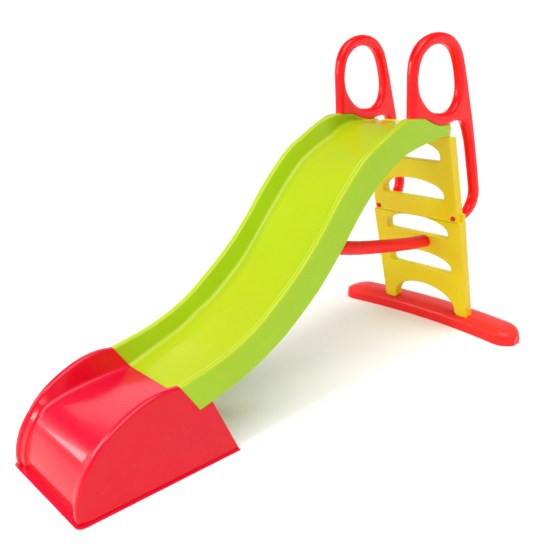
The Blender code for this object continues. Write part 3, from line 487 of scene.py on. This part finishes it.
def make_run_out(material):
    rows = []
    for ridge_x, ridge_z, floor_x, floor_z, foot_x in RUN_OUT_ROWS[:-1]:
        ledge_x = blend(ridge_x, foot_x, LEDGE_PART)
        ledge_z = blend(ridge_z, WALL, LEDGE_PART)
        rows.append((ridge_x, ridge_z, floor_x, floor_z, ledge_x, ledge_z, foot_x))
    joint_foot = RUN_OUT_ROWS[-1][4]
    rows.append(CHUTE_ROWS[0] + (joint_foot,))
    stations = [list(station) for station in smooth_rows(rows, SHELL_STEPS)]
    tongue = []
    for k, station in enumerate(smooth_rows(CHUTE_ROWS, SHELL_STEPS)[:TONGUE_STEPS + 1]):
        tongue.append(list(station) + [blend(joint_foot, RUN_OUT_BACK, k / TONGUE_STEPS)])
    outer = [run_out_half(station, 0, 0, 0, 0) for station in stations]
    outer += [run_out_half(station, 0, JOINT_LAP, 0, LEDGE_DROP) for station in tongue]
    inner = [run_out_half(station, WALL, 0, 0, 0) for station in stations[:-1]]
    inner.append(run_out_half(stations[-1], WALL, 0, -WALL, 0))
    for k, station in enumerate(tongue):
        shift = 0 if k else -WALL
        inner.append(run_out_half(station, WALL, JOINT_LAP, shift, LEDGE_DROP + WALL))
    for point in inner[0]:
        point.z = 0.0
    outer.insert(0, [lip_point(point, WALL) for point in outer[0]])
    inner.insert(0, [Vector((point.x, point.y, 0)) for point in outer[0]])
    mesh = with_rounded_rims(shell_mesh("run_out", outer, inner), RIM_ROUNDING, mirrored=True)
    return add_piece("run_out_shell", mesh, material, "run_out")


# ---------------------------------------------------------------- ladder

def ladder_face(z):
    """X of the ladder's front face at height z."""
    return LEAN_X - LEAN * (z - LEAN_Z)


def arch_points(half, spring, top, count):
    """Half-ellipse from the right end to the left end."""
    points = []
    for k in range(count + 1):
        angle = math.pi * k / count
        points.append((half * math.cos(angle), spring + (top - spring) * math.sin(angle)))
    return points


def tread_opening(z, half):
    """D-shaped opening that stands on a tread's top edge."""
    points = arch_points(half, z + OPENING_END + OPENING_CORNER, z + OPENING_HEIGHT, 36)
    for side, start in ((-1, math.pi), (1, 1.5 * math.pi)):
        for k in range(5):
            angle = start + math.pi / 8 * k
            points.append((side * (half - OPENING_CORNER) + OPENING_CORNER * math.cos(angle),
                           z + OPENING_CORNER + OPENING_CORNER * math.sin(angle)))
    return points


def leaned(mesh, offset):
    """Shear a mesh built against the plane x = 0 along the ladder's lean."""
    for vertex in mesh.vertices:
        vertex.co.x += ladder_face(vertex.co.z) + offset
    return mesh


ACROSS = ((0, 1, 0), (0, 0, 1), (1, 0, 0))
ALONG = ((1, 0, 0), (0, 0, 1), (0, -1, 0))


def make_ladder(material):
    chamfer_top = LEG_BOTTOM + LEG_CHAMFER_HEIGHT
    half_depth = LADDER_DEPTH / 2
    legs = [(LOWER_HALF, LEG_BOTTOM), (LOWER_HALF, LAP_HIGH), (-LOWER_HALF, LAP_HIGH),
            (-LOWER_HALF, LEG_BOTTOM), (-LEG_CHAMFER, LEG_BOTTOM), (-LEG_INNER, chamfer_top)]
    legs += list(reversed(arch_points(ARCH_HALF, ARCH_SPRING, ARCH_TOP, 40)))
    legs += [(LEG_INNER, chamfer_top), (LEG_CHAMFER, LEG_BOTTOM)]
    openings = [tread_opening(z, half) for z, half in TREADS]
    lower = leaned(plate("lower", [legs] + openings[:2], half_depth, LADDER_EDGE, ACROSS), half_depth)
    top = [(UPPER_HALF_LOW, LAP_LOW), (UPPER_HALF_TOP, LADDER_TOP), (-UPPER_HALF_TOP, LADDER_TOP),
           (-UPPER_HALF_LOW, LAP_LOW)]
    upper = leaned(plate("upper", [top] + openings[2:], half_depth, LADDER_EDGE, ACROSS), half_depth)

    split = ladder_face(LAP_MIDDLE) + half_depth
    side = LOWER_HALF + LAP_REACH
    front = box_mesh("lap_front", (split - LAP_REACH, -side, LAP_LOW - GAP),
                     (split + GAP / 2, side, LAP_LOW + LAP_REACH))
    back = box_mesh("lap_back", (split - GAP / 2, -side, LAP_HIGH - LAP_REACH),
                    (split + LAP_REACH, side, LAP_HIGH + GAP))
    tread_front = CHUTE_ROWS[-1][0] + GAP
    tread = box_mesh("top_tread", (tread_front, -TREAD_HALF, TREAD_BOTTOM),
                     (TREAD_REAR, TREAD_HALF, TREAD_TOP))
    ledge = box_mesh("ledge", (LEDGE_FRONT, -LEDGE_HALF, LEDGE_BOTTOM),
                     (LEDGE_BACK, LEDGE_HALF, TREAD_TOP - WALL - GAP))
    changes = [("DIFFERENCE", back), ("UNION", bevelled(tread, 0.004)),
               ("UNION", bevelled(ledge, 0.002))]
    add_piece("ladder_lower_half", combined(lower, [("DIFFERENCE", front)]), material,
              "ladder_lower", angle=40)
    add_piece("ladder_upper_half", combined(upper, changes), material,
              "ladder_upper", angle=40)


# ---------------------------------------------------------------- handrails, foot bar, brace

def rail_y(x):
    """Distance of a handrail's middle plane from the slide's."""
    return RAIL_Y + RAIL_SPLAY * (x - RAIL_FRONT)


def make_handrail(word, side, material):
    end_x = ladder_face(LAP_MIDDLE) + LADDER_DEPTH / 2
    end = [(end_x, z) for z in RAIL_END]
    outline = closed_smooth(RAIL_FOOT + RAIL_OUTER + end + RAIL_INNER, RAIL_STEPS)
    hole = closed_smooth(RAIL_HOLE, RAIL_STEPS)
    mesh = plate("handrail", [outline, hole], RAIL_HALF, RAIL_EDGE, ALONG, steps=6)
    for vertex in mesh.vertices:
        vertex.co.y += side * rail_y(vertex.co.x)
    ridge = [(station[0], station[1] + GAP) for station in smooth_rows(CHUTE_ROWS, SHELL_STEPS)
             if station[0] > PLATFORM_START]
    below = [(ridge[-1][0], SADDLE_BOTTOM), (ridge[0][0], SADDLE_BOTTOM)]
    saddle = plate("saddle", [ridge + below], SKIRT_HALF + RAIL_HALF, 0.0, ALONG, steps=0)
    trim = box_mesh("trim", (-LADDER_DEPTH, -LOWER_HALF, LAP_LOW - LADDER_DEPTH),
                    (LADDER_DEPTH + GAP, LOWER_HALF, LAP_HIGH + LADDER_DEPTH))
    changes = [("DIFFERENCE", saddle), ("DIFFERENCE", leaned(trim, 0))]
    add_piece("handrail_loop_" + word, combined(mesh, changes), material,
              "handrail_" + word, angle=40)


def bar_outline():
    """Upper outline of the bar's section as (across, height) from front to rear, unit sized."""
    points = [(-1.0, 0.0)]
    for k in range(29):
        angle = math.pi * (1 - k / 28)
        across = math.copysign(abs(math.cos(angle)) ** BAR_FULLNESS, math.cos(angle))
        points.append((across, abs(math.sin(angle)) ** BAR_FULLNESS))
    points.append((1.0, 0.0))
    return points


def bar_ring(y):
    """Section of the foot bar at y: its ends are lower and narrower, and swept forwards."""
    reach = max(abs(y) - (BAR_HALF - BAR_END), 0) / BAR_END
    grow = max(math.sqrt(max(1 - reach * reach, 0)), BAR_END_WIDTH)
    height = BAR_HEIGHT * blend(BAR_END_HEIGHT, 1, grow) - BAR_SKIRT
    centre = BAR_MIDDLE_X - BAR_BOW * y * y
    outline = bar_outline()
    places = [(outline[0][0], 0.0)]
    places += [(across, BAR_SKIRT + lift * height) for across, lift in outline[1:-1]]
    places.append((outline[-1][0], 0.0))
    return [Vector((centre + across * BAR_WIDTH * grow, y, z)) for across, z in places]


def make_foot_bar(material):
    mesh = bpy.data.meshes.new("foot_bar")
    bm = bmesh.new()
    half = list(np.linspace(0, BAR_HALF - BAR_END, 16))
    half += [BAR_HALF - BAR_END * (1 - math.sin(angle)) for angle in np.linspace(0, math.pi / 2, 16)]
    places = sorted(set(round(y, 5) for y in half + [-y for y in half]))
    rings = [[bm.verts.new(place) for place in bar_ring(y)] for y in places]
    for low, high in zip(rings, rings[1:]):
        for k in range(len(low)):
            n = (k + 1) % len(low)
            bm.faces.new((low[k], low[n], high[n], high[k]))
    bm.faces.new(rings[0])
    bm.faces.new(rings[-1])
    bmesh.ops.recalc_face_normals(bm, faces=bm.faces)
    bm.to_mesh(mesh)
    bm.free()
    changes = []
    for _, side in SIDES:
        low, high = sorted((side * POCKET_INNER, side * (LOWER_HALF + GAP)))
        pocket = box_mesh("pocket", (-GAP, low, LEG_BOTTOM - GAP),
                          (LADDER_DEPTH + GAP, high, LEG_BOTTOM + BAR_HEIGHT))
        changes.append(("DIFFERENCE", leaned(pocket, 0)))
    add_piece("foot_beam", combined(mesh, changes), material, "foot_bar", angle=40)


def make_brace(material):
    curve = bpy.data.curves.new("brace", "CURVE")
    curve.dimensions = "3D"
    curve.bevel_depth = BRACE_RADIUS
    curve.bevel_resolution = 14
    curve.use_fill_caps = True
    stations = smooth_rows(BRACE_PATH, 6)
    spline = curve.splines.new("POLY")
    spline.points.add(len(stations) - 1)
    for point, place in zip(spline.points, stations):
        point.co = (place[0], BRACE_Y, place[1], 1)
    mesh = tidied(curve_mesh("brace", curve))
    trim = box_mesh("trim", (-GAP, -LOWER_HALF, LEG_BOTTOM), (LADDER_DEPTH, LOWER_HALF, LAP_LOW))
    mesh = combined(mesh, [("DIFFERENCE", leaned(trim, 0))])
    add_piece("brace_tube", mesh, material, "brace_bar", angle=60, evened=False)


# ---------------------------------------------------------------- materials

def node(tree, kind, **values):
    """Add a shader node; values whose names are sockets set those, the rest are properties."""
    item = tree.nodes.new(kind)
    for name, value in values.items():
        socket = item.inputs.get(name.replace("_", " ").title())
        if socket is not None:
            socket.default_value = value
        else:
            setattr(item, name, value)
    return item


def object_place(tree, scale=(1, 1, 1)):
    """Object-space coordinates, stretched by `scale`."""
    place = tree.nodes.new("ShaderNodeTexCoord")
    stretch = node(tree, "ShaderNodeMapping", scale=scale)
    tree.links.new(place.outputs["Object"], stretch.inputs["Vector"])
    return stretch.outputs["Vector"]


def noise(tree, vector, scale, detail=3.0, roughness=0.5):
    item = node(tree, "ShaderNodeTexNoise", scale=scale, detail=detail, roughness=roughness)
    tree.links.new(vector, item.inputs["Vector"])
    return item.outputs["Fac"]


def ranged(tree, value, from_low, from_high, to_low, to_high):
    item = tree.nodes.new("ShaderNodeMapRange")
    for name, number in (("From Min", from_low), ("From Max", from_high), ("To Min", to_low),
                         ("To Max", to_high)):
        item.inputs[name].default_value = number
    tree.links.new(value, item.inputs["Value"])
    return item.outputs["Result"]


def mixed(tree, factor, first, second):
    """Blend two colours, each a triple or another node's output."""
    item = tree.nodes.new("ShaderNodeMix")
    item.data_type = "RGBA"
    tree.links.new(factor, item.inputs[0])
    for socket, colour in ((item.inputs[6], first), (item.inputs[7], second)):
        if isinstance(colour, tuple):
            socket.default_value = (*colour, 1)
        else:
            tree.links.new(colour, socket)
    return item.outputs[2]


def facing(tree, axis):
    """How far the surface faces along an object axis, from -1 to 1."""
    place = tree.nodes.new("ShaderNodeTexCoord")
    parts = tree.nodes.new("ShaderNodeSeparateXYZ")
    tree.links.new(place.outputs["Normal"], parts.inputs["Vector"])
    return parts.outputs[axis]


def bumped(tree, shader, layers):
    """Stack bump layers of (height, strength, distance) on a shader."""
    normal = None
    for height, strength, distance in layers:
        item = node(tree, "ShaderNodeBump", strength=strength, distance=distance)
        tree.links.new(height, item.inputs["Height"])
        if normal:
            tree.links.new(normal, item.inputs["Normal"])
        normal = item.outputs["Normal"]
    tree.links.new(normal, shader.inputs["Normal"])


def plastic(name, body, side, rub, roughness=0.22, painted_light_axis="Z", grain=420.0, wear=0.05, coat=0.16):
    """Moulded polyethylene.

    `body` is the colour painted on faces that look up and `side` the colour painted on faces that look
    sideways: painted light and shade by facing, a lit tone and a side tone for how the lamps fall.
    `rub` is the paler tone of scuffs and of sharp convex edges.  The surface has fine orange peel,
    soft mould waviness, faint scratches and dull patches.
    """
    material = bpy.data.materials.new(name)
    material.use_nodes = True
    tree = material.node_tree
    shader = tree.nodes["Principled BSDF"]
    shader.inputs["Specular IOR Level"].default_value = 0.22
    shader.inputs["Coat Weight"].default_value = coat
    shader.inputs["Coat Roughness"].default_value = 0.07

    even = object_place(tree)
    drawn = object_place(tree, (3.0, 22.0, 3.0))
    cloud = noise(tree, even, 3.2, 2.0)
    speckle = noise(tree, even, 85.0, 4.0, 0.6)
    scratch = noise(tree, drawn, 9.0, 3.0, 0.65)
    peel = noise(tree, even, grain, 2.0)
    wave = noise(tree, even, 14.0, 1.0)

    # Painted light and shade: faces that look up get the body tone and faces that look sideways the side
    # tone, standing in for how the lamps fall.
    painted_light_by_facing = ranged(tree, facing(tree, painted_light_axis), 0.15, 0.85, 1.0, 0.0)
    colour = mixed(tree, painted_light_by_facing, body, side)
    deeper = tuple(0.86 * part for part in body)
    patches = ranged(tree, cloud, 0.42, 0.68, 0.0, 0.28)
    colour = mixed(tree, patches, colour, deeper)
    scuffs = ranged(tree, scratch, 0.60, 0.80, 0.0, wear)
    colour = mixed(tree, scuffs, colour, rub)
    # Paler tone on sharp convex edges, taken from the mesh's pointiness.
    edges = tree.nodes.new("ShaderNodeNewGeometry")
    paler_at_edges = ranged(tree, edges.outputs["Pointiness"], 0.62, 0.80, 0.0, 0.30)
    colour = mixed(tree, paler_at_edges, colour, rub)
    tree.links.new(colour, shader.inputs["Base Color"])

    dull = ranged(tree, speckle, 0.35, 0.75, roughness - 0.03, roughness + 0.07)
    worn = node(tree, "ShaderNodeMath", operation="MULTIPLY_ADD")
    tree.links.new(scuffs, worn.inputs[0])
    worn.inputs[1].default_value = 0.9
    tree.links.new(dull, worn.inputs[2])
    tree.links.new(worn.outputs[0], shader.inputs["Roughness"])
    bumped(tree, shader, ((peel, 0.10, 0.0004), (scratch, 0.03, 0.0003), (wave, 0.12, 0.0020)))
    return material


def zinc(name):
    """Zinc plating: bright steel with a fine spangle and darker stains."""
    material = bpy.data.materials.new(name)
    material.use_nodes = True
    tree = material.node_tree
    shader = tree.nodes["Principled BSDF"]
    shader.inputs["Metallic"].default_value = 1.0
    even = object_place(tree)
    spangle = noise(tree, even, 900.0, 3.0)
    stain = noise(tree, even, 160.0, 2.0)
    tint = mixed(tree, ranged(tree, stain, 0.4, 0.7, 0.0, 1.0), (0.66, 0.67, 0.68), (0.48, 0.48, 0.47))
    tree.links.new(tint, shader.inputs["Base Color"])
    tree.links.new(ranged(tree, spangle, 0.3, 0.7, 0.28, 0.46), shader.inputs["Roughness"])
    bumped(tree, shader, ((spangle, 0.25, 0.0002),))
    return material


def dull_moulding(name, colour, roughness, grain):
    """Rubber or nylon: matt, with a fine grain and paler dust in patches."""
    material = bpy.data.materials.new(name)
    material.use_nodes = True
    tree = material.node_tree
    shader = tree.nodes["Principled BSDF"]
    even = object_place(tree)
    fine = noise(tree, even, grain, 3.0)
    dust = noise(tree, even, 120.0, 3.0)
    pale = tuple(min(part * 1.5 + 0.02, 1) for part in colour)
    tint = mixed(tree, ranged(tree, dust, 0.45, 0.75, 0.0, 0.6), colour, pale)
    tree.links.new(tint, shader.inputs["Base Color"])
    tree.links.new(ranged(tree, fine, 0.3, 0.7, roughness - 0.08, roughness + 0.08),
                   shader.inputs["Roughness"])
    bumped(tree, shader, ((fine, 0.3, 0.0003),))
    return material


def make_materials():
    return {
        # In each plastic the first colour is painted on up-facing faces and the second on sideways
        # faces, as painted light and shade; the third is the paler tone of scuffs and sharp edges.
        "lime": plastic("lime plastic", (0.44, 0.54, 0.008), (0.36, 0.58, 0.010), (0.66, 0.74, 0.22)),
        "run_out": plastic("run-out red", (0.68, 0.004, 0.030), (0.73, 0.001, 0.013),
                           (0.90, 0.14, 0.18)),
        "rail": plastic("handrail red", (0.90, 0.002, 0.005), (0.98, 0.001, 0.003), (1.0, 0.12, 0.12)),
        "foot": plastic("foot bar red", (0.84, 0.035, 0.024), (0.90, 0.010, 0.010), (0.95, 0.22, 0.18),
                        roughness=0.34, coat=0.1),
        "brace": plastic("brace red", (0.84, 0.008, 0.012), (0.96, 0.006, 0.010), (0.95, 0.18, 0.16),
                         roughness=0.38, grain=260.0, wear=0.02, coat=0.04),
        "yellow": plastic("yellow plastic", (0.99, 0.88, 0.0), (0.80, 0.57, 0.003), (0.98, 0.90, 0.35),
                          roughness=0.36, coat=0.1),
        "cap": plastic("bolt cap red", (0.72, 0.004, 0.014), (0.70, 0.003, 0.012), (0.85, 0.15, 0.15)),
        "zinc_steel": zinc("zinc-plated steel"),
        "black_rubber": dull_moulding("black rubber", (0.025, 0.025, 0.026), 0.75, 700.0),
        "grey_nylon": dull_moulding("grey nylon", (0.25, 0.26, 0.28), 0.45, 500.0),
    }


def dress_cad_nodes(materials):
    """Give the nodes that keep their CAD mesh their material and smooth shading, sharp above 32 degrees.
    """
    chosen = {"lime_plastic": "lime", "red_plastic": "rail", "yellow_plastic": "yellow",
              "bolt_cap_red": "cap"}
    for subpart in frame["record"]["subparts"]:
        slot = subpart["material_slot"]
        item = frame["nodes"][subpart["node"]]
        item.data.materials.clear()
        item.data.materials.append(materials[chosen.get(slot, slot)])
        item.data.shade_smooth()
        item.data.set_sharp_from_angle(angle=math.radians(32))


# ---------------------------------------------------------------- studio

CAMERA_PLACE = (-0.5775, -1.5806, 1.1961)
CAMERA_YAW = math.radians(45.68)
CAMERA_PITCH = math.radians(19.08)
CAMERA_LENS = 40.56


def make_camera():
    data = bpy.data.cameras.new("camera")
    data.lens = CAMERA_LENS
    data.sensor_width = 36
    camera = bpy.data.objects.new("camera", data)
    bpy.context.scene.collection.objects.link(camera)
    camera.location = Vector(CAMERA_PLACE) + Vector((FRONT, 0, 0))
    aim = Vector((math.cos(CAMERA_YAW) * math.cos(CAMERA_PITCH),
                  math.sin(CAMERA_YAW) * math.cos(CAMERA_PITCH), -math.sin(CAMERA_PITCH)))
    camera.rotation_mode = "QUATERNION"
    camera.rotation_quaternion = aim.to_track_quat("-Z", "Y")
    bpy.context.scene.camera = camera


def make_floor():
    mesh = bpy.data.meshes.new("floor")
    bm = bmesh.new()
    bmesh.ops.create_grid(bm, x_segments=1, y_segments=1, size=60)
    bm.to_mesh(mesh)
    bm.free()
    floor = bpy.data.objects.new("floor", mesh)
    bpy.context.scene.collection.objects.link(floor)
    material = bpy.data.materials.new("pale floor")
    material.use_nodes = True
    shader = material.node_tree.nodes["Principled BSDF"]
    shader.inputs["Base Color"].default_value = (0.96, 0.96, 0.96, 1)
    shader.inputs["Roughness"].default_value = 0.9
    shader.inputs["Specular IOR Level"].default_value = 0.05
    mesh.materials.append(material)


def aim_lamp(name, data, place, target):
    lamp = bpy.data.objects.new(name, data)
    bpy.context.scene.collection.objects.link(lamp)
    lamp.location = place
    lamp.rotation_mode = "QUATERNION"
    lamp.rotation_quaternion = (Vector(target) - Vector(place)).to_track_quat("-Z", "Y")


def add_softbox(name, place, target, size, power):
    data = bpy.data.lights.new(name, "AREA")
    data.shape = "RECTANGLE"
    data.size, data.size_y = size
    data.energy = power
    aim_lamp(name, data, place, target)


def add_overhead(name, place, strength, spread):
    data = bpy.data.lights.new(name, "SUN")
    data.energy = strength
    data.angle = math.radians(spread)
    aim_lamp(name, data, place, (0, 0, 0))


def make_world():
    """White around the horizon, dimmer overhead, so that glossy faces keep their colour."""
    world = bpy.data.worlds.new("studio")
    bpy.context.scene.world = world
    world.use_nodes = True
    tree = world.node_tree
    background = tree.nodes["Background"]
    place = tree.nodes.new("ShaderNodeTexCoord")
    parts = tree.nodes.new("ShaderNodeSeparateXYZ")
    tree.links.new(place.outputs["Generated"], parts.inputs["Vector"])
    height = ranged(tree, parts.outputs["Z"], 0.10, 0.45, 1.05, 0.24)
    tree.links.new(height, background.inputs["Strength"])
    background.inputs["Color"].default_value = (1, 1, 1, 1)


def make_studio():
    make_world()
    add_overhead("overhead", (-0.5, -1.0, 3.4), 2.5, 60)
    add_softbox("left", (-2.6, 2.2, 1.7), (0, 0, 0.6), (0.5, 1.6), 34)
    add_softbox("behind", (0.5, 2.7, 2.0), (-0.8, 0, 0.2), (2.4, 1.1), 14)
    add_softbox("strip", (-1.9, -0.2, 2.6), (0, 0, 0.4), (0.3, 1.8), 18)


def main():
    make_camera()
    materials = make_materials()
    dress_cad_nodes(materials)
    make_chute(materials["lime"])
    make_run_out(materials["run_out"])
    make_ladder(materials["yellow"])
    for word, side in SIDES:
        make_handrail(word, side, materials["rail"])
    make_foot_bar(materials["foot"])
    make_brace(materials["brace"])
    make_floor()
    make_studio()
    bpy.context.scene.view_settings.view_transform = "Standard"


main()
